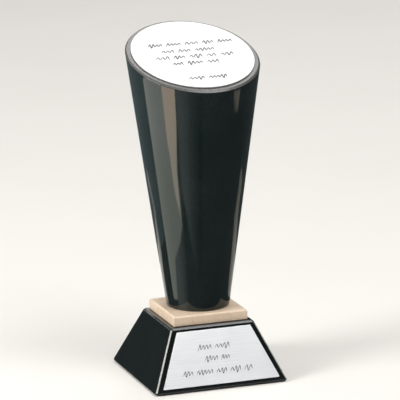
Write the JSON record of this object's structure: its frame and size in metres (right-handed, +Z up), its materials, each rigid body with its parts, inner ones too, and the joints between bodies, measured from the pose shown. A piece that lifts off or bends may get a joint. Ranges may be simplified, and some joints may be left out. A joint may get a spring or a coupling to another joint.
{
  "type": "column trophy",
  "caption": "Tapered polished stone column with a slanted, plated top, on a pale slab and a truncated pyramid base with an engraving plate, held together by a tie rod from below.",
  "frame": {"origin": "middle of the footprint, on the surface that the feet stand on", "axes": "+Z up, -Y towards the front, where the base's plate is and the top slants down, +X to the right as seen from the front"},
  "size_m": [0.1, 0.1012, 0.2526],
  "materials": {
    "dark_stone": "polished",
    "cream_stone": "honed",
    "satin_plate": "satin white lacquer",
    "brushed_plate": "brushed",
    "zinc_steel": "zinc plated",
    "adhesive": "cured",
    "foam_tape": "matte",
    "rubber": "matte",
    "engraving_fill": "matte"
  },
  "bodies": {
    "root": {"base": "dark_stone", "slab": "cream_stone", "column": "dark_stone", "slab_bond": "adhesive", "column_bond": "adhesive", "tie_rod": "zinc_steel", "rod_epoxy": "adhesive", "flat_washer": "zinc_steel", "lock_washer": "zinc_steel", "hex_nut": "zinc_steel", "top_plate": "satin_plate", "top_plate_tape": "foam_tape", "base_plate": "brushed_plate", "base_plate_tape": "foam_tape", "front_left_foot": "rubber", "front_right_foot": "rubber", "rear_left_foot": "rubber", "rear_right_foot": "rubber"}
  },
  "joints": []
}
